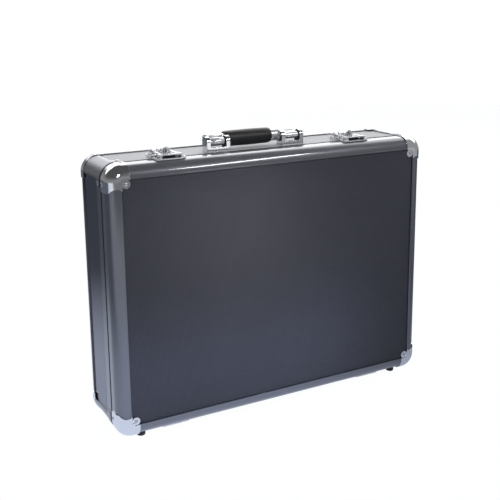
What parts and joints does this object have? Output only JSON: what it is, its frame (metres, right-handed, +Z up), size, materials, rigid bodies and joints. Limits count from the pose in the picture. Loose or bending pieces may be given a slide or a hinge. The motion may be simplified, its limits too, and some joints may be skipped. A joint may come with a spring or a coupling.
{
  "type": "carrying case",
  "caption": "Hard carrying case with gunmetal framed panels, bright corner caps, a lid hinged at the bottom, folding top handle and lever latches.",
  "frame": {"origin": "under the middle of the case, on the soles of the feet it stands on", "axes": "+X to the right seen from the front, +Y to the rear, +Z up; the lid is on the -Y side"},
  "size_m": [0.4642, 0.1046, 0.3705],
  "materials": {
    "frame_rail": "satin gunmetal anodised extrusion",
    "seam_strip": "satin bright extrusion",
    "corner_post": "satin bright corner post",
    "front_panel": "dark metallic sheet with a fine diagonal embossed grain",
    "side_panel": "smooth dark metallic sheet",
    "corner_cap": "bright pressed corner",
    "rivet": "bright rivet head",
    "chrome_fitting": "bright plated casting",
    "steel_fitting": "plain steel",
    "rubber_foot": "black rubber",
    "grip": "glossy black moulding",
    "lid_foam": "charcoal soft liner",
    "base_lining": "charcoal flocked lining"
  },
  "bodies": {
    "base": {"base_lining": "base_lining", "base_rivets": "rivet", "bottom_panel": "side_panel", "corner_post_bottom_left": "corner_post", "corner_post_bottom_right": "corner_post", "corner_post_top_left": "corner_post", "corner_post_top_right": "corner_post", "handle_bracket_left": "chrome_fitting", "handle_bracket_right": "chrome_fitting", "handle_pins": "steel_fitting", "hinge_base_leaves": "steel_fitting", "hinge_pins": "steel_fitting", "latch_base_left": "chrome_fitting", "latch_base_right": "chrome_fitting", "lever_pins": "steel_fitting", "rear_cap_bottom_left": "corner_cap", "rear_cap_bottom_right": "corner_cap", "rear_cap_top_left": "corner_cap", "rear_cap_top_right": "corner_cap", "rear_panel": "side_panel", "rear_rail_bottom": "frame_rail", "rear_rail_left": "frame_rail", "rear_rail_right": "frame_rail", "rear_rail_top": "frame_rail", "rubber_feet_rear": "rubber_foot", "seam_rail_bottom": "seam_strip", "seam_rail_left": "seam_strip", "seam_rail_right": "seam_strip", "seam_rail_top": "seam_strip", "side_panel_left": "side_panel", "side_panel_right": "side_panel", "top_panel": "side_panel"},
    "lid": {"front_cap_bottom_left": "corner_cap", "front_cap_bottom_right": "corner_cap", "front_cap_top_left": "corner_cap", "front_cap_top_right": "corner_cap", "front_panel": "front_panel", "hinge_lid_leaves": "steel_fitting", "lid_foam": "lid_foam", "lid_rail_bottom": "frame_rail", "lid_rail_left": "frame_rail", "lid_rail_right": "frame_rail", "lid_rail_top": "frame_rail", "lid_rivets": "rivet", "rubber_feet_front": "rubber_foot", "strike_left": "chrome_fitting", "strike_right": "chrome_fitting"},
    "handle": {"handle_end_left": "chrome_fitting", "handle_end_right": "chrome_fitting", "handle_grip": "grip"},
    "lever_left": {"hook_pin_left": "steel_fitting", "lever_left": "chrome_fitting"},
    "lever_right": {"hook_pin_right": "steel_fitting", "lever_right": "chrome_fitting"},
    "hook_left": {"hook_left": "chrome_fitting"},
    "hook_right": {"hook_right": "chrome_fitting"},
    "barrel_left": {"key_barrel_left": "steel_fitting"},
    "barrel_right": {"key_barrel_right": "steel_fitting"}
  },
  "joints": [
    {"name": "lid_hinge", "type": "hinge", "parent": "base", "child": "lid", "pos_m": [0, -0.025, 0.0034], "axis": [1, 0, 0], "range_deg": [0, 95]},
    {"name": "handle_fold", "type": "hinge", "parent": "base", "child": "handle", "pos_m": [-0.016, -0.01, 0.36], "axis": [1, 0, 0], "range_deg": [0, 100]},
    {"name": "lever_lift_left", "type": "hinge", "parent": "base", "child": "lever_left", "pos_m": [-0.145, -0.011, 0.353], "axis": [1, 0, 0], "range_deg": [0, 95]},
    {"name": "hook_level_left", "type": "hinge", "parent": "lever_left", "child": "hook_left", "pos_m": [-0.145, -0.007, 0.3535], "axis": [1, 0, 0], "range_deg": [-95, 0]},
    {"name": "key_turn_left", "type": "hinge", "parent": "base", "child": "barrel_left", "pos_m": [-0.145, -0.02, 0.3566], "axis": [0, -1, 0], "range_deg": [0, 90]},
    {"name": "lever_lift_right", "type": "hinge", "parent": "base", "child": "lever_right", "pos_m": [0.125, -0.011, 0.353], "axis": [1, 0, 0], "range_deg": [0, 95]},
    {"name": "hook_level_right", "type": "hinge", "parent": "lever_right", "child": "hook_right", "pos_m": [0.125, -0.007, 0.3535], "axis": [1, 0, 0], "range_deg": [-95, 0]},
    {"name": "key_turn_right", "type": "hinge", "parent": "base", "child": "barrel_right", "pos_m": [0.125, -0.02, 0.3566], "axis": [0, -1, 0], "range_deg": [0, 90]}
  ],
  "couplings": [
    {"joint": "hook_level_left", "follows": "lever_lift_left", "ratio": -1},
    {"joint": "hook_level_right", "follows": "lever_lift_right", "ratio": -1}
  ]
}
